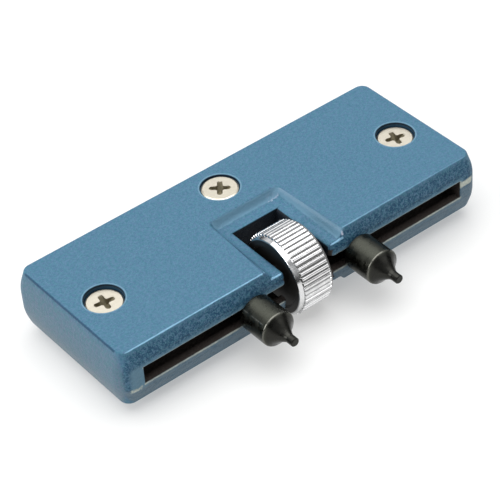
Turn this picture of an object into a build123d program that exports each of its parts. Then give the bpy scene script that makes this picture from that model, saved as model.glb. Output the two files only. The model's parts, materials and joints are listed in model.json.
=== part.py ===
from build123d import *
import os
from math import cos, radians, sin

# Two-claw case back opener, in millimetres.
# X runs along the body, Y points to the back, away from the claws, and Z points up.
# The origin is the centre of the body's flat underside.

# Body, outside
body_length = 87.4
body_depth = 34.5
body_height = 13.0
parting_z = body_height / 2
plan_corner_radius = 3.1
wall_lean = 1.2
wall_lean_height = 3.5
wall_blend_radius = 9.0
top_edge_radius = 0.45
bottom_edge_radius = 1.1

front_y = -body_depth / 2

# Guide channel along the front, closed by two lips that leave the slot between them
channel_end_x = 38.7
slot_height = 3.9
slot_edge_radius = 0.3
lip_thickness = 1.9
channel_height = 6.7
channel_back_y = -8.95

# Window for the wheel and the recess around it, on both faces
window_back_half = 5.15
window_front_half = 5.45
window_back_y = -1.25
window_corner_radius = 1.0
recess_depth = 1.9
recess_floor_back_y = 1.4
recess_floor_back_half = 7.5
recess_floor_front_half = 8.1
recess_wall_run = 1.0
recess_front_flare = 0.5
recess_corner_radius = 1.7
recess_foot_radius = 1.5
recess_brow_radius = 0.5

# Cored pockets behind the channel, each side of the middle block
core_wall = 2.4
core_inner_x = 12.5
core_front_y = -6.9
core_corner_radius = 2.0

# Cover screws, M4 countersunk with a cross recess
# For each screw: its place, how far the head sits below the top face, and the turn of its recess
screw_places = {
    "left": (-35.65, -1.5, 0.9, -9.0),
    "middle": (0.0, 9.5, 0.25, -38.0),
    "right": (35.75, -1.45, 0.85, -14.0),
}
screw_head_radius = 3.7
screw_head_land = 0.35
screw_edge_run = 0.3
screw_edge_drop = 0.14
screw_shank_radius = 2.0
screw_tip_z = 3.2
screw_hole_end_z = 2.4
screw_clear_radius = 2.15
counterbore_radius = 3.92
counterbore_edge_radius = 0.15
boss_radius = 4.6
recess_arm_radius = 2.15
recess_arm_width = 1.1
recess_middle_radius = 0.95
recess_cross_depth = 1.7
recess_cross_bottom_radius = 0.75

# Spindle and wheel
axis_y = -12.06
thread_radius = 2.0
journal_radius = 1.5
journal_length = 2.9
journal_clearance = 0.05
spindle_end_play = 0.1
seat_radius = 2.5
wheel_centre_x = -0.81
wheel_width = 7.9
wheel_radius = 8.62
wheel_left_run = 1.0
wheel_left_drop = 0.6
wheel_right_run = 0.5
wheel_right_drop = 0.45
tooth_count = 52
tooth_depth = 0.4
tooth_land = 0.5
tooth_root = 0.22
tooth_start_turn = 1.4

# Jaws, turned from round bar: a head in the channel, a groove in the slot, a barrel and a pin
jaw_pair_centre_x = -0.56
jaw_half_gap = 12.68
jaw_head_radius = 3.2
jaw_head_chamfer = 0.4
jaw_rear_y = -9.1
jaw_groove_radius = 1.8
jaw_groove_back_y = -15.2
jaw_groove_front_y = -17.4
jaw_barrel_radius = 3.71
jaw_rim_y = -23.86
jaw_rim_radius = 0.45
jaw_flare_middle = (2.2, -25.31)
jaw_flare_end = (1.15, -26.76)
jaw_pin_radius = 0.92
jaw_pin_start_y = -27.41
jaw_pin_end_y = -29.01
jaw_pin_chamfer = 0.15
jaw_thread_clearance = 0.05


def block(x_range, y_range, z_range):
    """A box between the given low and high limits."""
    size = [high - low for low, high in (x_range, y_range, z_range)]
    centre = [(high + low) / 2 for low, high in (x_range, y_range, z_range)]
    return Pos(*centre) * Box(*size)


def rod_x(radius, x_low, x_high):
    """A round bar along X on the spindle's axis."""
    middle = (x_low + x_high) / 2
    return Pos(middle, axis_y, parting_z) * Rot(0, 90, 0) * Cylinder(radius, x_high - x_low)


def outer_body():
    """The body's outer form: upright walls that lean in towards the top and the underside."""
    body = extrude(RectangleRounded(body_length, body_depth, plan_corner_radius), body_height)
    for facing in (-1, 0):
        face = body.faces().sort_by(Axis.Z)[facing]
        body = chamfer(face.edges(), wall_lean, wall_lean_height, reference=face)
    for height in (wall_lean_height, body_height - wall_lean_height):
        bends = body.edges().filter_by_position(Axis.Z, height - 0.01, height + 0.01)
        body = fillet(bends, wall_blend_radius)
    body = fillet(body.faces().sort_by(Axis.Z)[-1].edges(), top_edge_radius)
    body = fillet(body.faces().sort_by(Axis.Z)[0].edges(), bottom_edge_radius)
    return body


def window_cutter():
    """The wheel's window, right through the body and open to the front."""
    past_front_y = front_y - 2.0
    outline = Polyline(
        (-window_back_half, window_back_y),
        (window_back_half, window_back_y),
        (window_front_half, past_front_y),
        (-window_front_half, past_front_y),
        close=True,
    )
    return Pos(0, 0, -1) * extrude(make_face(outline), body_height + 2)


def recess_outline(grow, back_y):
    """Plan of the recess at one level: it widens a little towards the open front."""
    past_front_y = front_y - 2.0
    back_half = recess_floor_back_half + grow
    front_half = recess_floor_front_half + grow + recess_front_flare * grow / recess_wall_run
    return [
        (-back_half, back_y),
        (back_half, back_y),
        (front_half, past_front_y),
        (-front_half, past_front_y),
    ]


def recess_cutter():
    """The sloping-walled recess in the top face, as a solid to take away."""
    above = 0.6
    wall_slope = recess_wall_run / recess_depth
    top_grow = recess_wall_run + above * wall_slope
    floor = Pos(0, 0, body_height - recess_depth) * make_face(
        Polyline(*recess_outline(0.0, recess_floor_back_y), close=True)
    )
    top = Pos(0, 0, body_height + above) * make_face(
        Polyline(*recess_outline(top_grow, recess_floor_back_y + top_grow), close=True)
    )
    cutter = loft([floor, top], ruled=True)
    back_corners = [
        edge
        for edge in cutter.edges()
        if edge.center().Y > recess_floor_back_y and abs(edge.center().X) > recess_floor_back_half
        and edge.bounding_box().size.Z > recess_depth
    ]
    cutter = fillet(back_corners, recess_corner_radius)
    foot = [
        edge
        for edge in cutter.faces().sort_by(Axis.Z)[0].edges()
        if edge.center().Y > front_y - 1.5
    ]
    return fillet(foot, recess_foot_radius)


def recess_brow(body):
    """The edges where both recesses meet the top face and the underside."""
    reach = recess_floor_front_half + recess_wall_run + recess_front_flare + 0.5
    return [
        edge
        for facing in (0, -1)
        for edge in body.faces().sort_by(Axis.Z)[facing].edges()
        if abs(edge.center().X) < reach and edge.center().Y < recess_floor_back_y + 3
        and abs(edge.center().Y - front_y) > 2
    ]


def window_corners(body):
    """The upright edges where the window's sides meet the front."""
    return [
        edge
        for edge in body.edges()
        if edge.center().Y < front_y + window_corner_radius
        and abs(abs(edge.center().X) - window_front_half) < 0.1
        and edge.bounding_box().size.Z > 0.2
    ]


def slot_mouth(body):
    """The edges of the slot on the front face: the lips' long edges and the two upright ends."""
    slot_z = (parting_z - slot_height / 2, parting_z + slot_height / 2)
    lips = [
        edge
        for height in slot_z
        for edge in body.edges().filter_by_position(Axis.Z, height - 0.01, height + 0.01)
        if edge.center().Y < front_y + window_corner_radius / 2
    ]
    ends = [
        edge
        for edge in body.edges()
        if abs(abs(edge.center().X) - channel_end_x) < 0.01
        and edge.center().Y < front_y + 0.4
        and edge.bounding_box().size.Z > slot_height / 2
    ]
    return lips + ends


def screw_opening(place_x, place_y, sink):
    """Clearance hole, countersink and counterbore through the upper half."""
    head_top_z = body_height - sink
    cone_top_z = head_top_z - screw_head_land
    cone_height = screw_head_radius - screw_shank_radius
    opening = Pos(place_x, place_y, parting_z) * Cylinder(
        screw_clear_radius, cone_top_z - parting_z, align=(Align.CENTER, Align.CENTER, Align.MIN)
    )
    opening += Pos(place_x, place_y, cone_top_z - cone_height) * Cone(
        screw_shank_radius, screw_head_radius, cone_height, align=(Align.CENTER, Align.CENTER, Align.MIN)
    )
    opening += Pos(place_x, place_y, cone_top_z) * Cylinder(
        counterbore_radius, body_height, align=(Align.CENTER, Align.CENTER, Align.MIN)
    )
    return opening


def cored_pocket(side):
    """One of the two hollows cast inside the body, with the screw boss left standing in it."""
    x_low = core_inner_x
    x_high = body_length / 2 - core_wall - wall_lean
    y_high = body_depth / 2 - core_wall - wall_lean
    plan = RectangleRounded(x_high - x_low, y_high - core_front_y, core_corner_radius)
    height = body_height - 2 * core_wall
    middle = (side * (x_low + x_high) / 2, (y_high + core_front_y) / 2, core_wall)
    pocket = Pos(*middle) * extrude(plan, height)
    name = "left" if side < 0 else "right"
    boss_x, boss_y = screw_places[name][:2]
    pocket -= Pos(boss_x, boss_y, parting_z) * Cylinder(boss_radius, body_height)
    web_end = side * body_length / 2
    pocket -= block(
        sorted((boss_x, web_end)), (boss_y - core_wall / 2, boss_y + core_wall / 2), (0, body_height)
    )
    return pocket


def hollow_body():
    """The whole body with everything cut that both halves share."""
    body = outer_body()
    channel_front_y = front_y + lip_thickness
    channel_z = (parting_z - channel_height / 2, parting_z + channel_height / 2)
    slot_z = (parting_z - slot_height / 2, parting_z + slot_height / 2)
    body -= block((-channel_end_x, channel_end_x), (channel_front_y, channel_back_y), channel_z)
    body -= block((-channel_end_x, channel_end_x), (front_y - 1, channel_front_y), slot_z)
    body -= window_cutter()
    top_recess = recess_cutter()
    body -= top_recess
    body -= mirror(top_recess, about=Plane.XY.offset(body_height / 2))
    body = fillet(recess_brow(body), recess_brow_radius)
    body = fillet(window_corners(body), window_corner_radius)
    body = fillet(slot_mouth(body), slot_edge_radius)
    seat_end = channel_end_x + journal_length + spindle_end_play
    body -= rod_x(journal_radius + journal_clearance, -seat_end, seat_end)
    for side in (-1, 1):
        body -= cored_pocket(side)
    return body


def make_upper_shell(body):
    """The upper half, with the countersunk screw openings."""
    shell = split(body, bisect_by=Plane.XY.offset(parting_z), keep=Keep.TOP)
    for place_x, place_y, sink, _ in screw_places.values():
        shell -= screw_opening(place_x, place_y, sink)
    top_face = shell.faces().sort_by(Axis.Z)[-1]
    rims = [edge for edge in top_face.edges() if edge.geom_type == GeomType.CIRCLE]
    return fillet(rims, counterbore_edge_radius)


def make_lower_shell(body):
    """The lower half, with the tapped screw holes."""
    shell = split(body, bisect_by=Plane.XY.offset(parting_z), keep=Keep.BOTTOM)
    for place_x, place_y, _, _ in screw_places.values():
        shell -= Pos(place_x, place_y, screw_hole_end_z) * Cylinder(
            screw_shank_radius, body_height, align=(Align.CENTER, Align.CENTER, Align.MIN)
        )
    return shell


def make_screw(place_x, place_y, sink, turn):
    """A countersunk machine screw with a tapering cross recess, turned to its own angle."""
    head_top_z = body_height - sink
    cone_height = screw_head_radius - screw_shank_radius
    cone_top_z = head_top_z - screw_head_land
    outline = Polyline(
        (0, screw_tip_z),
        (screw_shank_radius - 0.4, screw_tip_z),
        (screw_shank_radius, screw_tip_z + 0.4),
        (screw_shank_radius, cone_top_z - cone_height),
        (screw_head_radius, cone_top_z),
        (screw_head_radius, head_top_z - screw_edge_drop),
        (screw_head_radius - screw_edge_run, head_top_z),
        (0, head_top_z),
        close=True,
    )
    screw = revolve(Plane.XZ * make_face(outline), Axis.Z)
    arm = SlotOverall(2 * recess_arm_radius, recess_arm_width)
    plan = arm + Rot(0, 0, 90) * arm + Circle(recess_middle_radius)
    cross = Pos(0, 0, -recess_cross_depth) * extrude(plan, 2 * recess_cross_depth)
    cone = Pos(0, 0, -recess_cross_depth) * Cone(
        recess_cross_bottom_radius,
        recess_arm_radius,
        recess_cross_depth,
        align=(Align.CENTER, Align.CENTER, Align.MIN),
    )
    cone += Cylinder(recess_arm_radius, 0.5, align=(Align.CENTER, Align.CENTER, Align.MIN))
    screw -= Pos(0, 0, head_top_z) * (cross & cone)
    return Pos(place_x, place_y, 0) * Rot(0, 0, turn) * screw


def make_spindle():
    """The threaded rod: opposite threads each side of the wheel's seat, and plain end journals."""
    shoulder_x = channel_end_x - spindle_end_play / 2
    journal_x = channel_end_x + journal_length
    spindle = rod_x(thread_radius, -shoulder_x, shoulder_x)
    spindle += rod_x(journal_radius, -journal_x, journal_x)
    seat_low = wheel_centre_x - wheel_width / 2
    spindle += rod_x(seat_radius, seat_low, seat_low + wheel_width)
    return spindle


def tooth_outline():
    """Corner points of the serrated rim, tooth by tooth."""
    points = []
    root_radius = wheel_radius - tooth_depth
    pitch = 360.0 / tooth_count
    land = tooth_land * pitch
    root = tooth_root * pitch
    for tooth in range(tooth_count):
        start = tooth_start_turn + tooth * pitch
        valley = start + land + (pitch - land - root) / 2
        corners = (
            (wheel_radius, start),
            (wheel_radius, start + land),
            (root_radius, valley),
            (root_radius, valley + root),
        )
        points += [(r * cos(radians(a)), r * sin(radians(a))) for r, a in corners]
    return points


def make_wheel():
    """The serrated thumb wheel, with a wide shoulder on its left, bored to press onto the spindle."""
    rim = extrude(make_face(Polyline(*tooth_outline(), close=True)), wheel_width)
    outline = Polyline(
        (seat_radius, 0),
        (wheel_radius - wheel_left_drop, 0),
        (wheel_radius, wheel_left_run),
        (wheel_radius, wheel_width - wheel_right_run),
        (wheel_radius - wheel_right_drop, wheel_width),
        (seat_radius, wheel_width),
        close=True,
    )
    blank = revolve(Plane.XZ * make_face(outline), Axis.Z)
    wheel = rim & blank
    return Pos(wheel_centre_x - wheel_width / 2, axis_y, parting_z) * Rot(0, 90, 0) * wheel


def make_jaw(side):
    """One claw: threaded head, groove for the slot, barrel with a rounded rim, flare and pin."""
    back_line = Polyline(
        (0, jaw_rear_y),
        (jaw_head_radius - jaw_head_chamfer, jaw_rear_y),
        (jaw_head_radius, jaw_rear_y - jaw_head_chamfer),
        (jaw_head_radius, jaw_groove_back_y),
        (jaw_groove_radius, jaw_groove_back_y),
        (jaw_groove_radius, jaw_groove_front_y),
        (jaw_barrel_radius - jaw_pin_chamfer, jaw_groove_front_y),
        (jaw_barrel_radius, jaw_groove_front_y - jaw_pin_chamfer),
        (jaw_barrel_radius, jaw_rim_y),
    )
    rim_middle, rim_end = [
        (
            jaw_barrel_radius - jaw_rim_radius * (1 - cos(radians(turn))),
            jaw_rim_y - jaw_rim_radius * sin(radians(turn)),
        )
        for turn in (30, 60)
    ]
    rim = ThreePointArc((jaw_barrel_radius, jaw_rim_y), rim_middle, rim_end)
    flare = ThreePointArc(rim_end, jaw_flare_middle, jaw_flare_end)
    pin_start = (jaw_pin_radius, jaw_pin_start_y)
    neck = TangentArc(jaw_flare_end, pin_start, tangent=flare % 1)
    front_line = Polyline(
        pin_start,
        (jaw_pin_radius, jaw_pin_end_y + jaw_pin_chamfer),
        (jaw_pin_radius - jaw_pin_chamfer, jaw_pin_end_y),
        (0, jaw_pin_end_y),
        (0, jaw_rear_y),
    )
    turned = revolve(make_face([back_line, rim, flare, neck, front_line]), Axis.Y)
    centre_x = jaw_pair_centre_x + side * jaw_half_gap
    reach = jaw_barrel_radius + 1
    jaw = Pos(centre_x, 0, parting_z) * turned
    return jaw - rod_x(thread_radius + jaw_thread_clearance, centre_x - reach, centre_x + reach)


def write(node, solid):
    """Write one named piece as its own STEP file."""
    solid.label = node
    export_step(solid, f"parts/{node}.step")


os.makedirs("parts", exist_ok=True)
common_body = hollow_body()
write("upper_shell", make_upper_shell(common_body))
write("lower_shell", make_lower_shell(common_body))
for side_name, place in screw_places.items():
    write(f"cover_screw_{side_name}", make_screw(*place))
write("spindle", make_spindle())
write("thumb_wheel", make_wheel())
write("jaw_left", make_jaw(-1))
write("jaw_right", make_jaw(1))
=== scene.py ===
import json
from math import cos, pi, radians, sin

import bmesh
import bpy
from mathutils import Matrix, Vector


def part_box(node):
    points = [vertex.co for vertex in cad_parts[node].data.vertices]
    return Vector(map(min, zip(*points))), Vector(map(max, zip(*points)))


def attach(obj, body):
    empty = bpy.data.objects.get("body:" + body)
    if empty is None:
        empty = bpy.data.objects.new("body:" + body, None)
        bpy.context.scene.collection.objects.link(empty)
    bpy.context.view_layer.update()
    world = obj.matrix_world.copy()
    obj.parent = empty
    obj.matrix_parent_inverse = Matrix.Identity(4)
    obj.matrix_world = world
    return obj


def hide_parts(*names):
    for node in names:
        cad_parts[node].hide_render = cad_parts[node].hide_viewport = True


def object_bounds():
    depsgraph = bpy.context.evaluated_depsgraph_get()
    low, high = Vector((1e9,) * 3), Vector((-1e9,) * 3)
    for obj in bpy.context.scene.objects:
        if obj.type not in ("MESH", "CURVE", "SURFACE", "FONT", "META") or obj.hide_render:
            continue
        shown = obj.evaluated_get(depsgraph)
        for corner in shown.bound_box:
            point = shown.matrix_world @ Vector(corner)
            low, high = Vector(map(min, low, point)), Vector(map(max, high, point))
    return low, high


# A two-claw case back opener. Everything is in metres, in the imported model's own frame.
MM = 0.001

# The thumb wheel's ribs: shares of one rib's width, and a crest that is slightly domed
RIB_COUNT = 52
RIB_TURN = radians(3.21)
RIB_DEPTH = 0.40 * MM
RIB_CREST_SHARE = 0.58
RIB_ROOT_SHARE = 0.16
RIB_DOME = 0.05 * MM
LEFT_SHOULDER = (1.0 * MM, 0.60 * MM)
RIGHT_SHOULDER = (0.5 * MM, 0.45 * MM)
WHEEL_BORE_RADIUS = 2.5 * MM
WHEEL_DISH_RADIUS = 6.6 * MM
WHEEL_DISH_DEPTH = 0.35 * MM

# The spindle's M4 threads, opposite on its two sides
THREAD_PITCH = 0.7 * MM
THREAD_RADIUS = 2.0 * MM
THREAD_DEPTH = 0.43 * MM
THREAD_STEPS = 8
THREAD_POINTS = 24
JOURNAL_RADIUS = 1.5 * MM
JOURNAL_LENGTH = 2.95 * MM
JOURNAL_CHAMFER = 0.2 * MM
SEAT_RADIUS = 2.49 * MM

# Places on the body that the paint's wear, painted highlights and painted shade follow, in millimetres
FRONT_Y = -17.25
PARTING_Z = 6.5
SLOT_HALF_HEIGHT = 1.95
SLOT_END_X = 38.7
CHANNEL_HALF_HEIGHT = 3.35
CHANNEL_BACK_Y = -8.95
WINDOW_HALF = 5.45
WINDOW_BACK_Y = -1.25
RECESS_FLOOR_Z = 11.1
RECESS_BACK_Y = 2.0
BODY_TOP_Z = 13.0
BORE_EDGE_RADIUS = 4.0
BORE_RIM_RADIUS = 4.15
JAW_RIM_Y = -23.86
JAW_BARREL_BACK_Y = -17.6

SCREWS = ("cover_screw_left", "cover_screw_middle", "cover_screw_right")

# The camera's place round the middle of the body's underside
VIEW_AZIMUTH = radians(-35.505)
VIEW_ELEVATION = radians(40.390)
VIEW_ROLL = radians(-4.947)
VIEW_DISTANCE = 0.402657
VIEW_SHIFT = (0.000899, -0.002129)
LENS_MM = 148.381
SENSOR_MM = 36.0

# The pale floor: half its side, its colour, and how much it glows
FLOOR_HALF = 3.0
FLOOR_COLOUR = (0.44, 0.44, 0.436)
FLOOR_GLOW = 0.38

# The light tent: how its brightness changes with height, and from front to back
TENT_RISE = (0.12, 0.50, 0.10, 1.0)
TENT_FRONT_TO_BACK = (-0.5, 0.2, 0.40, 0.78)
TENT_SEEN = 0.85
TENT_COLOUR = (0.97, 0.985, 1.0, 1.0)


class Nodes:
    """One material's node tree, with short ways to add what a surface needs."""

    def __init__(self, name, metallic, roughness, base=(0.5, 0.5, 0.5)):
        self.material = bpy.data.materials.new(name)
        self.material.use_nodes = True
        self.tree = self.material.node_tree
        self.tree.nodes.clear()
        output = self.add("ShaderNodeOutputMaterial")
        self.shader = self.add("ShaderNodeBsdfPrincipled")
        self.tree.links.new(self.shader.outputs["BSDF"], output.inputs["Surface"])
        self.set("Metallic", metallic)
        self.set("Roughness", roughness)
        self.set("Base Color", (*base, 1.0))
        place = self.add("ShaderNodeTexCoord")
        scale = self.add("ShaderNodeVectorMath", operation="SCALE")
        self.tree.links.new(place.outputs["Object"], scale.inputs[0])
        scale.inputs["Scale"].default_value = 1 / MM
        self.place_mm = scale.outputs["Vector"]
        self.x, self.y, self.z = self.split(self.place_mm)

    def add(self, kind, **settings):
        node = self.tree.nodes.new(kind)
        for key, value in settings.items():
            setattr(node, key, value)
        return node

    def feed(self, socket, value):
        """Links a socket's output in, or sets a constant."""
        if isinstance(value, bpy.types.NodeSocket):
            self.tree.links.new(value, socket)
        elif hasattr(value, "__len__") and socket.type == "RGBA" and len(value) == 3:
            socket.default_value = (*value, 1.0)
        else:
            socket.default_value = value

    def set(self, name, value):
        self.feed(self.shader.inputs[name], value)

    def split(self, vector):
        node = self.add("ShaderNodeSeparateXYZ")
        self.feed(node.inputs[0], vector)
        return node.outputs[0], node.outputs[1], node.outputs[2]

    def math(self, operation, a, b=0.0):
        node = self.add("ShaderNodeMath", operation=operation)
        self.feed(node.inputs[0], a)
        self.feed(node.inputs[1], b)
        return node.outputs[0]

    def vector(self, operation, a, b=(0.0, 0.0, 0.0)):
        node = self.add("ShaderNodeVectorMath", operation=operation)
        self.feed(node.inputs[0], a)
        self.feed(node.inputs[1], b)
        return node.outputs["Value"] if operation == "LENGTH" else node.outputs["Vector"]

    def step(self, value, low, high, new_low=0.0, new_high=1.0):
        """A smooth change from one value to another as the input crosses a range."""
        node = self.add("ShaderNodeMapRange", interpolation_type="SMOOTHSTEP", clamp=True)
        for socket, number in zip(node.inputs, (value, low, high, new_low, new_high)):
            self.feed(socket, number)
        return node.outputs[0]

    def noise(self, size_mm, detail=3.0, roughness=0.55, stretch=(1, 1, 1), seed=0.0):
        """Fractal noise, from 0 to 1, with features about size_mm across."""
        stretched = self.vector("DIVIDE", self.place_mm, tuple(size_mm * s for s in stretch))
        moved = self.vector("ADD", stretched, (seed, seed * 1.7, seed * 2.3))
        node = self.add("ShaderNodeTexNoise", noise_dimensions="3D")
        self.feed(node.inputs["Vector"], moved)
        node.inputs["Scale"].default_value = 1.0
        node.inputs["Detail"].default_value = detail
        node.inputs["Roughness"].default_value = roughness
        return node.outputs["Fac"]

    def mix(self, factor, a, b):
        node = self.add("ShaderNodeMix", data_type="RGBA")
        self.feed(node.inputs[0], factor)
        self.feed(node.inputs[6], a)
        self.feed(node.inputs[7], b)
        return node.outputs[2]

    def blend(self, factor, a, b):
        """A number that goes from a to b as the factor goes from 0 to 1."""
        node = self.add("ShaderNodeMix", data_type="FLOAT")
        self.feed(node.inputs[0], factor)
        self.feed(node.inputs[2], a)
        self.feed(node.inputs[3], b)
        return node.outputs[0]

    def bump(self, height, depth_mm, previous=None):
        node = self.add("ShaderNodeBump")
        node.inputs["Strength"].default_value = 1.0
        node.inputs["Distance"].default_value = depth_mm * MM
        self.feed(node.inputs["Height"], height)
        if previous is not None:
            self.feed(node.inputs["Normal"], previous)
        return node.outputs[0]

    def distance_to_box(self, low_mm, high_mm):
        """How far a point is from a box, in millimetres: a box with no thickness is a line or a face."""
        centre = tuple((a + b) / 2 for a, b in zip(low_mm, high_mm))
        half = tuple((b - a) / 2 for a, b in zip(low_mm, high_mm))
        offset = self.vector("ABSOLUTE", self.vector("SUBTRACT", self.place_mm, centre))
        outside = self.vector("MAXIMUM", self.vector("SUBTRACT", offset, half), (0.0, 0.0, 0.0))
        return self.vector("LENGTH", outside)

    def ragged_mark(self, low_mm, high_mm, reach, breakup, amount=0.35):
        """A ragged mark round a line or patch, used for wear, painted highlights and painted shade: 1 on it,
        and 0 past about reach millimetres.
        """
        distance = self.distance_to_box(low_mm, high_mm)
        ragged = self.math("ADD", distance, self.math("MULTIPLY", breakup, amount))
        return self.step(ragged, reach, reach * 0.45)

    def along_wall(self, x_mm, lean, z_mm, reach, breakup, amount):
        """A ragged line along a side wall of the recess, whose x changes by lean for each unit of y."""
        from_start = self.math("SUBTRACT", self.x, x_mm)
        level = self.math("SUBTRACT", from_start, self.math("MULTIPLY", self.y, lean))
        ragged = self.math("ADD", self.math("ABSOLUTE", level), self.math("MULTIPLY", breakup, amount))
        mask = self.step(ragged, reach, reach * 0.45)
        mask = self.math("MULTIPLY", mask, self.step(self.y, RECESS_BACK_Y, RECESS_BACK_Y - 0.8))
        mask = self.math("MULTIPLY", mask, self.step(self.z, z_mm[0], z_mm[0] + 0.2))
        return self.math("MULTIPLY", mask, self.step(self.z, z_mm[1], z_mm[1] - 0.2))

    def most(self, *masks):
        found = masks[0]
        for mask in masks[1:]:
            found = self.math("MAXIMUM", found, mask)
        return found


def blue_enamel():
    """Satin blue paint with a fine pebbled grain and bare lines along the slot's lips. The front is painted
    darker navy as shade, the ends and lower front greyer as a painted floor reflection with some dust;
    painted highlights and shade lines, and painted shade inside."""
    nodes = Nodes("blue_enamel", metallic=0.0, roughness=0.45)
    nodes.shader.inputs["Specular IOR Level"].default_value = 0.14
    grain = nodes.noise(0.26, detail=2.0, roughness=0.6)
    pebble = nodes.noise(0.55, detail=2.0, seed=4.0)
    blotch = nodes.noise(1.3, detail=3.0, seed=12.0)
    streak = nodes.noise(0.45, detail=4.0, roughness=0.7, stretch=(5, 1, 1), seed=9.0)
    sparkle = nodes.noise(0.5, detail=3.0, roughness=0.7, seed=15.0)
    tone = nodes.blend(0.45, grain, pebble)
    colour = nodes.mix(nodes.step(tone, 0.34, 0.66), (0.030, 0.104, 0.172), (0.084, 0.182, 0.262))
    hue = nodes.step(nodes.noise(0.6, detail=2.0, seed=21.0), 0.38, 0.62)
    colour = nodes.mix(0.35, colour, nodes.mix(hue, (0.042, 0.156, 0.200), (0.080, 0.136, 0.236)))

    # The front wall is painted darker navy in a mottled pattern: painted shade
    upright = nodes.math("MULTIPLY", nodes.step(nodes.y, -16.1, -16.5), nodes.step(nodes.z, 12.8, 12.5))
    front_painted_shade = nodes.math("MULTIPLY", upright, nodes.step(tone, 0.42, 0.58, 0.95, 0.05))
    colour = nodes.mix(front_painted_shade, colour, (0.014, 0.058, 0.112))
    # Paler grey streaks below the slot and beside its right end: partly dust, partly a painted reflection of
    # the floor
    past_slot = nodes.math("MULTIPLY", nodes.step(nodes.x, 38.5, 38.9), nodes.step(nodes.z, 6.6, 6.5))
    low_front = nodes.math("MULTIPLY", upright, nodes.most(nodes.step(nodes.z, 4.7, 4.2), past_slot))
    dust_and_floor_reflection = nodes.math("MULTIPLY", low_front, nodes.step(streak, 0.35, 0.60, 0.45, 0.95))
    colour = nodes.mix(dust_and_floor_reflection, colour, (0.122, 0.175, 0.215))
    # The left end painted greyer towards the bottom: a painted reflection of the floor
    end_floor_reflection = nodes.step(nodes.x, -42.3, -43.2)
    end_floor_reflection = nodes.math("MULTIPLY", end_floor_reflection, nodes.step(nodes.z, 8.0, 1.0, 0.35, 0.8))
    colour = nodes.mix(end_floor_reflection, colour, nodes.mix(hue, (0.128, 0.188, 0.205), (0.172, 0.190, 0.225)))

    # The slot's lips are bare from wear, with paler paint round the bare lines; the pale line along the lower
    # lip is partly a painted highlight
    lip_top = PARTING_Z + SLOT_HALF_HEIGHT
    lip_low = PARTING_Z - SLOT_HALF_HEIGHT
    halo = nodes.most(
        nodes.ragged_mark((-SLOT_END_X, FRONT_Y, lip_top), (SLOT_END_X, FRONT_Y, lip_top), 1.6, blotch, 0.9),
        nodes.ragged_mark((-SLOT_END_X - 2.2, FRONT_Y, lip_low), (-SLOT_END_X, FRONT_Y, lip_top), 1.7, blotch, 0.9),
    )
    colour = nodes.mix(nodes.math("MULTIPLY", halo, 0.8), colour, (0.115, 0.215, 0.285))
    bare_and_highlit = nodes.most(
        nodes.ragged_mark((-SLOT_END_X, FRONT_Y, lip_top), (SLOT_END_X, FRONT_Y, lip_top), 0.62, streak, 0.5),
        nodes.ragged_mark((-SLOT_END_X, FRONT_Y, lip_low), (SLOT_END_X, FRONT_Y, lip_low), 0.62, streak, 0.5),
        nodes.ragged_mark((SLOT_END_X, FRONT_Y, 7.2), (SLOT_END_X + 2.9, FRONT_Y + 0.6, 7.9), 1.0, blotch, 0.8),
        nodes.ragged_mark(
            (-SLOT_END_X - 3.0, FRONT_Y, 3.9), (-SLOT_END_X - 0.9, FRONT_Y + 0.8, 4.4), 1.0, sparkle, 1.35,
        ),
    )
    bare = nodes.mix(nodes.noise(0.5, seed=2.0), (0.26, 0.30, 0.27), (0.62, 0.64, 0.56))
    colour = nodes.mix(bare_and_highlit, colour, bare)

    # Painted highlights along the top's front edge and the recess floor's front edges, and painted glints on
    # the recess's right wall and back corner
    front_edge_highlight = nodes.ragged_mark((-42.6, -16.05, 12.92), (42.0, -16.0, 13.0), 0.34, streak, 0.3)
    front_edge_highlight = nodes.math("MULTIPLY", front_edge_highlight, nodes.step(nodes.x, -20.0, 38.0, 0.95, 0.25))
    right_wall_painted_glint = nodes.along_wall(8.40, -0.037, (11.5, 12.9), 0.62, sparkle, 0.6)
    corner_painted_glint = nodes.ragged_mark((5.2, 1.2, 11.1), (8.2, 2.2, 12.2), 0.9, sparkle, 1.35)
    floor_edge_highlight = nodes.most(
        nodes.ragged_mark((-8.5, -16.75, 11.0), (-5.8, -16.6, 11.2), 0.36, streak, 0.3),
        nodes.ragged_mark((5.8, -16.75, 11.0), (8.9, -16.6, 11.2), 0.36, streak, 0.3),
    )
    colour = nodes.mix(nodes.most(front_edge_highlight, floor_edge_highlight), colour, (0.24, 0.45, 0.62))
    colour = nodes.mix(nodes.most(right_wall_painted_glint, corner_painted_glint), colour, (0.48, 0.50, 0.62))
    # The recess's back and right walls painted lighter below the top: painted light
    back_wall_painted_sheen = nodes.ragged_mark((-7.6, 1.4, 11.4), (8.9, 2.7, 13.0), 0.7, blotch, 0.5)
    right_wall_painted_sheen = nodes.ragged_mark((8.1, -16.0, 11.4), (9.6, 2.4, 13.0), 0.7, blotch, 0.5)
    walls_painted_sheen = nodes.math("MULTIPLY", nodes.most(back_wall_painted_sheen, right_wall_painted_sheen), nodes.step(nodes.z, 12.95, 12.7))
    colour = nodes.mix(nodes.math("MULTIPLY", walls_painted_sheen, 0.9), colour, (0.118, 0.235, 0.325))
    # Dark lines along the recess's left wall and the left end's top edge: painted shade
    left_wall_shade_line = nodes.along_wall(-8.30, 0.090, (12.6, 13.1), 0.36, streak, 0.2)
    end_edge_shade_line = nodes.ragged_mark((-42.6, -14.2, 12.7), (-42.45, 14.2, 12.95), 0.36, streak, 0.3)
    painted_shade_lines = nodes.math("MULTIPLY", nodes.most(left_wall_shade_line, end_edge_shade_line), 0.75)
    colour = nodes.mix(painted_shade_lines, colour, (0.012, 0.040, 0.085))
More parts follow.
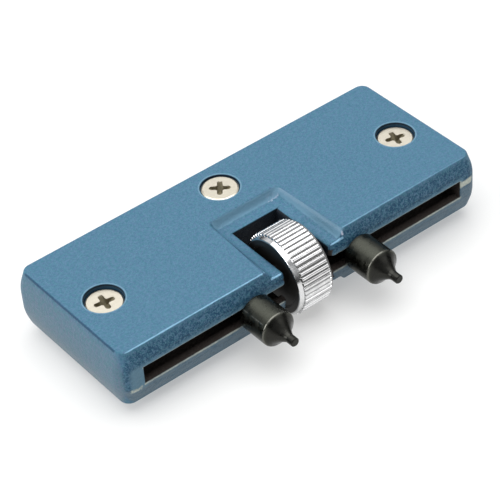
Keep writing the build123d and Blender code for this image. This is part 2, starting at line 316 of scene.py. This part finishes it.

    # Screw holes: walls painted dark navy and a near black mouth as painted shade round the heads, and a
    # paler rim as a painted highlight
    bore_shade_masks = []
    bore_rim_highlights = []
    for node in SCREWS:
        low, high = (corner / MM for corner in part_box(node))
        axis = ((low.x + high.x) / 2, (low.y + high.y) / 2, 0)
        offset = nodes.vector("SUBTRACT", nodes.place_mm, axis)
        from_axis = nodes.vector("LENGTH", nodes.vector("MULTIPLY", offset, (1, 1, 0)))
        bore_shade_masks.append(nodes.step(from_axis, BORE_EDGE_RADIUS + 0.03, BORE_EDGE_RADIUS - 0.03))
        from_rim = nodes.math("ABSOLUTE", nodes.math("SUBTRACT", from_axis, BORE_RIM_RADIUS))
        bore_rim_highlights.append(nodes.step(from_rim, 0.20, 0.05))
    below_top = nodes.step(nodes.z, 12.97, 12.90)
    colour = nodes.mix(nodes.math("MULTIPLY", nodes.most(*bore_rim_highlights), 0.45), colour, (0.20, 0.33, 0.42))
    bore_shade_colour = nodes.mix(nodes.step(nodes.z, 12.50, 12.65), (0.016, 0.046, 0.080), (0.006, 0.012, 0.022))
    colour = nodes.mix(nodes.math("MULTIPLY", nodes.most(*bore_shade_masks), below_top), colour, bore_shade_colour)

    # The guide channel and the wheel's window are painted dark: painted shade for their unlit insides
    channel = nodes.step(nodes.distance_to_box(
        (-SLOT_END_X, FRONT_Y + 0.3, PARTING_Z - CHANNEL_HALF_HEIGHT),
        (SLOT_END_X, CHANNEL_BACK_Y, PARTING_Z + CHANNEL_HALF_HEIGHT),
    ), 0.15, 0.0)
    window = nodes.step(nodes.distance_to_box(
        (-WINDOW_HALF, FRONT_Y + 1.0, BODY_TOP_Z - RECESS_FLOOR_Z + 0.25),
        (WINDOW_HALF, WINDOW_BACK_Y, RECESS_FLOOR_Z - 0.25),
    ), 0.18, 0.0)
    colour = nodes.mix(channel, colour, (0.050, 0.042, 0.038))
    nodes.set("Base Color", nodes.mix(window, colour, (0.010, 0.014, 0.020)))
    nodes.set("Metallic", nodes.math("MULTIPLY", bare_and_highlit, 0.3))
    nodes.set("Roughness", nodes.step(grain, 0.3, 0.7, 0.40, 0.52))
    nodes.set("Normal", nodes.bump(tone, 0.22))
    return nodes.material


def bright_chrome():
    """Bright plated steel, with faint turning marks; the foot of the ribs and the side faces are darkened:
    painted shade, with some soiling at the roots.
    """
    nodes = Nodes("bright_chrome", metallic=1.0, roughness=0.16)
    smear = nodes.noise(1.4, detail=3.0, seed=1.0)
    bright = nodes.mix(nodes.step(smear, 0.35, 0.7), (0.66, 0.66, 0.665), (0.78, 0.78, 0.78))
    low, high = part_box("thumb_wheel")
    middle = (low + high) / 2 / MM
    across = nodes.math("SUBTRACT", nodes.y, middle.y)
    along_z = nodes.math("SUBTRACT", nodes.z, middle.z)
    across_squared = nodes.math("MULTIPLY", across, across)
    along_z_squared = nodes.math("MULTIPLY", along_z, along_z)
    radius = nodes.math("SQRT", nodes.math("ADD", across_squared, along_z_squared))
    crest = (high.z - low.z) / 2 / MM
    shoulder_end = low.x / MM + LEFT_SHOULDER[0] / MM
    in_ribs = nodes.step(nodes.x, shoulder_end - 0.1, shoulder_end + 0.05, 0.0, 0.7)
    # Darker at the foot of the ribs and on the side faces: painted shade, with some soiling at the roots
    painted_shade_and_grime = nodes.math("MULTIPLY", nodes.step(radius, crest - 0.22, crest - 0.38), in_ribs)
    painted_shade_and_grime = nodes.most(painted_shade_and_grime, nodes.step(radius, crest - 0.70, crest - 1.0))
    nodes.set("Base Color", nodes.mix(painted_shade_and_grime, bright, (0.06, 0.058, 0.055)))
    nodes.set("Roughness", nodes.blend(painted_shade_and_grime, nodes.step(smear, 0.3, 0.7, 0.12, 0.22), 0.5))
    nodes.set("Normal", nodes.bump(nodes.noise(0.25, seed=3.0), 0.004))
    return nodes.material


def black_oxide_steel():
    """Blackened turned steel, with fine rings round the pin's axis, a scuffed line on the left jaw's barrel,
    a painted highlight round the front rim and painted shade ahead of it.
    """
    nodes = Nodes("black_oxide_steel", metallic=1.0, roughness=0.3)
    rings = nodes.noise(0.18, detail=2.0, stretch=(40, 1, 40))
    patches = nodes.noise(1.1, detail=3.0, seed=5.0)
    black = nodes.mix(patches, (0.036, 0.038, 0.031), (0.060, 0.062, 0.052))
    low, high = (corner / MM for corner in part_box("jaw_left"))
    # A paler line round the front rim: a painted highlight
    rim = nodes.ragged_mark((-60, JAW_RIM_Y - 0.25, -20), (60, JAW_RIM_Y - 0.1, 30), 0.26, patches, 0.2)
    centre_x, centre_z = (low.x + high.x) / 2, (low.z + high.z) / 2
    scuff = nodes.ragged_mark(
        (centre_x - 2.9, JAW_RIM_Y + 0.6, centre_z + 2.3),
        (centre_x - 2.8, JAW_BARREL_BACK_Y, centre_z + 2.4),
        0.5, nodes.noise(0.5, detail=4.0, roughness=0.7, stretch=(1, 3, 1), seed=3.0), 0.75,
    )
    ragged_mark = nodes.most(nodes.math("MULTIPLY", rim, 0.38), scuff)
    # The cone and pin ahead of the rim are painted darker: painted shade
    tip_painted_shade = nodes.step(nodes.y, JAW_RIM_Y - 0.3, JAW_RIM_Y - 0.7)
    black = nodes.mix(tip_painted_shade, black, (0.030, 0.030, 0.027))
    nodes.set("Base Color", nodes.mix(ragged_mark, black, (0.24, 0.235, 0.21)))
    nodes.set("Roughness", nodes.step(patches, 0.3, 0.7, 0.24, 0.38))
    nodes.set("Normal", nodes.bump(rings, 0.006))
    return nodes.material


def warm_nickel():
    """Nickel plated screw steel, a little yellowed, with its cross recess darkened: olive soiling and painted
    shade.
    """
    nodes = Nodes("warm_nickel", metallic=1.0, roughness=0.33)
    patches = nodes.noise(0.7, detail=3.0, seed=6.0)
    plate = nodes.mix(patches, (0.55, 0.51, 0.41), (0.67, 0.62, 0.53))
    recesses = []
    for node in SCREWS:
        low, high = (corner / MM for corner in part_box(node))
        x, y = (low.x + high.x) / 2, (low.y + high.y) / 2
        pit = nodes.distance_to_box((x - 2.2, y - 2.2, high.z - 2.0), (x + 2.2, y + 2.2, high.z - 0.20))
        recesses.append(nodes.step(pit, 0.14, 0.0))
    dirt_and_shade_colour = nodes.mix(nodes.noise(0.6, seed=2.0), (0.016, 0.013, 0.006), (0.26, 0.22, 0.12))
    # A little of the plate still shows through the olive soiling and painted shade
    recess_dirt_and_shade = nodes.math("MULTIPLY", nodes.most(*recesses), 0.95)
    nodes.set("Base Color", nodes.mix(recess_dirt_and_shade, plate, dirt_and_shade_colour))
    nodes.set("Metallic", nodes.blend(recess_dirt_and_shade, 1.0, 0.2))
    nodes.set("Roughness", nodes.blend(recess_dirt_and_shade, 0.33, 0.5))
    nodes.set("Normal", nodes.bump(nodes.noise(0.2, seed=8.0), 0.005))
    return nodes.material


def oiled_steel():
    """Dark oiled steel of the threaded spindle."""
    nodes = Nodes("oiled_steel", metallic=1.0, roughness=0.35)
    patches = nodes.noise(0.6, detail=3.0, seed=7.0)
    nodes.set("Base Color", nodes.mix(patches, (0.05, 0.05, 0.05), (0.12, 0.115, 0.11)))
    nodes.set("Normal", nodes.bump(patches, 0.006))
    return nodes.material


def paint(node, material):
    """Gives a CAD node its material."""
    slots = frame["nodes"][node].data.materials
    slots.clear()
    slots.append(material)


def add_piece(name, mesh, material, body, node):
    """Puts a finished mesh into the scene in place of a CAD node."""
    mesh.materials.append(material)
    piece = bpy.data.objects.new(name, mesh)
    bpy.context.scene.collection.objects.link(piece)
    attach(piece, body)
    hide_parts(node)
    return piece


def rings_to_mesh(name, rings, capped=False):
    """A mesh over rings of points: the last ring joins the first, or both ends are capped."""
    shape = bmesh.new()
    rows = [[shape.verts.new(point) for point in ring] for ring in rings]
    following = rows[1:] if capped else rows[1:] + rows[:1]
    for row, after in zip(rows, following):
        for index in range(len(row)):
            nearer = (index + 1) % len(row)
            shape.faces.new((row[index], row[nearer], after[nearer], after[index]))
    if capped:
        shape.faces.new(rows[0])
        shape.faces.new(rows[-1])
    bmesh.ops.recalc_face_normals(shape, faces=shape.faces)
    mesh = bpy.data.meshes.new(name)
    shape.to_mesh(mesh)
    shape.free()
    return mesh


def rib_drop(share):
    """How far the rim lies below a rib's crest, at a place across one rib from -0.5 to 0.5."""
    crest_end = RIB_CREST_SHARE / 2
    slope_end = 0.5 - RIB_ROOT_SHARE / 2
    if abs(share) <= crest_end:
        return RIB_DOME * (share / crest_end) ** 2
    along = min((abs(share) - crest_end) / (slope_end - crest_end), 1.0)
    return RIB_DOME + (RIB_DEPTH - RIB_DOME) * along


def ribbed_wheel(material):
    """The thumb wheel: ribs across the rim that run out on its shoulders, and a dish in each side."""
    low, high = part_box("thumb_wheel")
    middle = (low + high) / 2
    crest = (high.z - low.z) / 2
    half = (0.08, 0.16, 0.24, RIB_CREST_SHARE / 2, 0.36, 0.5 - RIB_ROOT_SHARE / 2)
    shares = [-share for share in reversed(half)] + [0.0, *half, 0.5]
    pitch = 2 * pi / RIB_COUNT
    angles = [RIB_TURN + (rib + share) * pitch for rib in range(RIB_COUNT) for share in shares]
    drops = [rib_drop(share) for rib in range(RIB_COUNT) for share in shares]

    def ring(x, limit):
        radii = [min(limit, crest - drop) for drop in drops]
        return [
            (x, middle.y + radius * cos(angle), middle.z + radius * sin(angle))
            for radius, angle in zip(radii, angles)
        ]

    def shoulder(run, drop):
        """Rings from a side face out to the rim, a little rounded where they meet the ribs."""
        dish = [
            (WHEEL_DISH_DEPTH, WHEEL_BORE_RADIUS),
            (WHEEL_DISH_DEPTH, WHEEL_DISH_RADIUS - WHEEL_DISH_DEPTH),
            (WHEEL_DISH_DEPTH * 0.3, WHEEL_DISH_RADIUS - WHEEL_DISH_DEPTH * 0.2),
            (0.0, WHEEL_DISH_RADIUS),
        ]
        slope = [(0.0, 1.06), (0.04, 0.98), (0.5, 0.86), (0.92, 0.74), (1.04, 0.12), (1.12, 0.03), (1.3, 0.0)]
        return dish + [(run * along, crest - drop * below) for along, below in slope]

    left = shoulder(*LEFT_SHOULDER)
    right = shoulder(*RIGHT_SHOULDER)
    rings = [ring(low.x + depth, radius) for depth, radius in left]
    rings += [ring(high.x - depth, radius) for depth, radius in reversed(right)]
    mesh = rings_to_mesh("ribbed_thumb_wheel", rings)
    return add_piece("ribbed_thumb_wheel", mesh, material, "drive", "thumb_wheel")


def thread_radius_at(x, angle, hand):
    """The thread's radius at a place along and round the spindle."""
    turn = (x / THREAD_PITCH - hand * angle / (2 * pi)) % 1.0
    slope = (abs(turn - 0.5) * 2 - 0.125) / 0.625
    return THREAD_RADIUS - THREAD_DEPTH * min(max(slope, 0.0), 1.0)


def threaded_spindle(material):
    """The spindle: a right-hand thread on the left, a left-hand one on the right, seat and journals."""
    low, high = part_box("spindle")
    middle = (low + high) / 2
    seat_low, seat_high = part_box("thumb_wheel")
    angles = [index * 2 * pi / THREAD_POINTS for index in range(THREAD_POINTS)]

    def ring(x, radii):
        return [
            (x, middle.y + radius * cos(angle), middle.z + radius * sin(angle))
            for radius, angle in zip(radii, angles)
        ]

    def plain(x, radius):
        return ring(x, [radius] * THREAD_POINTS)

    def thread(start, end, hand):
        count = round((end - start) / THREAD_PITCH * THREAD_STEPS)
        rings = []
        for index in range(count + 1):
            x = start + (end - start) * index / count
            from_end = min(x - start, end - x)
            limit = THREAD_RADIUS - THREAD_DEPTH + from_end
            rings.append(ring(x, [min(limit, thread_radius_at(x, angle, hand)) for angle in angles]))
        return rings

    tip_radius = JOURNAL_RADIUS - JOURNAL_CHAMFER
    rings = [plain(low.x, tip_radius), plain(low.x + JOURNAL_CHAMFER, JOURNAL_RADIUS)]
    rings.append(plain(low.x + JOURNAL_LENGTH, JOURNAL_RADIUS))
    rings += thread(low.x + JOURNAL_LENGTH, seat_low.x, 1)
    rings += [plain(seat_low.x, SEAT_RADIUS), plain(seat_high.x, SEAT_RADIUS)]
    rings += thread(seat_high.x, high.x - JOURNAL_LENGTH, -1)
    rings.append(plain(high.x - JOURNAL_LENGTH, JOURNAL_RADIUS))
    rings += [plain(high.x - JOURNAL_CHAMFER, JOURNAL_RADIUS), plain(high.x, tip_radius)]
    mesh = rings_to_mesh("threaded_spindle", rings, capped=True)
    return add_piece("threaded_spindle", mesh, material, "drive", "spindle")


def make_camera():
    """The camera, placed by azimuth and elevation round the origin, then rolled and shifted."""
    back = Vector((
        sin(VIEW_AZIMUTH) * cos(VIEW_ELEVATION),
        -cos(VIEW_AZIMUTH) * cos(VIEW_ELEVATION),
        sin(VIEW_ELEVATION),
    ))
    level_right = Vector((0, 0, 1)).cross(back).normalized()
    level_up = back.cross(level_right)
    right = level_right * cos(VIEW_ROLL) + level_up * sin(VIEW_ROLL)
    up = level_up * cos(VIEW_ROLL) - level_right * sin(VIEW_ROLL)
    data = bpy.data.cameras.new("camera")
    data.lens = LENS_MM
    data.sensor_width = SENSOR_MM
    data.clip_start = 0.01
    camera = bpy.data.objects.new("camera", data)
    bpy.context.scene.collection.objects.link(camera)
    place = back * VIEW_DISTANCE - right * VIEW_SHIFT[0] - up * VIEW_SHIFT[1]
    camera.matrix_world = Matrix.Translation(place) @ Matrix((right, up, back)).transposed().to_4x4()
    bpy.context.scene.camera = camera


def area_light(name, place, size, power):
    """A white softbox aimed at the middle of the body's underside."""
    data = bpy.data.lights.new(name, "AREA")
    data.shape = "RECTANGLE"
    data.size, data.size_y = size
    data.energy = power
    light = bpy.data.objects.new(name, data)
    light.location = place
    light.rotation_mode = "QUATERNION"
    light.rotation_quaternion = (-Vector(place)).to_track_quat("-Z", "Y")
    light.visible_camera = False
    bpy.context.scene.collection.objects.link(light)


def make_surrounding():
    """A tent of light: pale overhead and behind, dimmer to the front, and dark near the horizon."""
    world = bpy.data.worlds.new("surrounding")
    world.use_nodes = True
    tree = world.node_tree
    background = tree.nodes["Background"]
    place = tree.nodes.new("ShaderNodeTexCoord")
    split = tree.nodes.new("ShaderNodeSeparateXYZ")
    tree.links.new(place.outputs["Generated"], split.inputs[0])

    def ramp(source, *limits):
        change = tree.nodes.new("ShaderNodeMapRange")
        change.interpolation_type = "SMOOTHSTEP"
        tree.links.new(source, change.inputs[0])
        for socket, value in zip(change.inputs[1:5], limits):
            socket.default_value = value
        return change.outputs[0]

    tent = tree.nodes.new("ShaderNodeMath")
    tent.operation = "MULTIPLY"
    tree.links.new(ramp(split.outputs[2], *TENT_RISE), tent.inputs[0])
    tree.links.new(ramp(split.outputs[1], *TENT_FRONT_TO_BACK), tent.inputs[1])
    rays = tree.nodes.new("ShaderNodeLightPath")
    seen = tree.nodes.new("ShaderNodeMix")
    tree.links.new(rays.outputs["Is Camera Ray"], seen.inputs[0])
    tree.links.new(tent.outputs[0], seen.inputs[2])
    seen.inputs[3].default_value = TENT_SEEN
    tree.links.new(seen.outputs[0], background.inputs["Strength"])
    background.inputs["Color"].default_value = TENT_COLOUR
    bpy.context.scene.world = world


def make_studio():
    """A plain pale floor that glows a little, a softbox overhead and two weaker ones beside the object."""
    low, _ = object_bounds()
    mesh = bpy.data.meshes.new("floor")
    half = FLOOR_HALF
    corners = [(-half, -half, 0), (half, -half, 0), (half, half, 0), (-half, half, 0)]
    mesh.from_pydata(corners, [], [(0, 1, 2, 3)])
    floor = bpy.data.objects.new("floor", mesh)
    floor.location = (0, 0, low.z)
    bpy.context.scene.collection.objects.link(floor)
    nodes = Nodes("pale_floor", metallic=0.0, roughness=0.8, base=FLOOR_COLOUR)
    nodes.set("Emission Color", (1.0, 1.0, 0.995))
    nodes.set("Emission Strength", FLOOR_GLOW)
    mesh.materials.append(nodes.material)
    area_light("overhead_softbox", (0.0, 0.06, 0.62), (0.9, 0.75), 5.9)
    area_light("front_right_softbox", (0.265, -0.456, 0.288), (0.30, 0.30), 0.31)
    area_light("left_softbox", (-0.70, 0.05, 0.28), (0.40, 0.30), 2.2)
    bpy.context.scene.view_settings.view_transform = "Standard"


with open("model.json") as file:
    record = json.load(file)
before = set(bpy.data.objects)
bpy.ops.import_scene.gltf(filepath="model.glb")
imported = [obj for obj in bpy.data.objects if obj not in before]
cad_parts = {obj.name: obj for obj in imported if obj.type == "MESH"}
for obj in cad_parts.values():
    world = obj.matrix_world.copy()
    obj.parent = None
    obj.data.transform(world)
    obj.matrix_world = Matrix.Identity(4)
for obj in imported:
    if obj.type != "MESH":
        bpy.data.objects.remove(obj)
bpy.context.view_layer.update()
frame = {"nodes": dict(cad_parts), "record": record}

finishes = {
    "blue_enamel": blue_enamel(),
    "wheel_chrome": bright_chrome(),
    "black_oxide_steel": black_oxide_steel(),
    "screw_nickel": warm_nickel(),
    "dark_steel": oiled_steel(),
}
for part in frame["record"]["subparts"]:
    paint(part["node"], finishes[part["material_slot"]])
ribbed_wheel(finishes["wheel_chrome"])
threaded_spindle(finishes["dark_steel"])

make_camera()
make_surrounding()
make_studio()
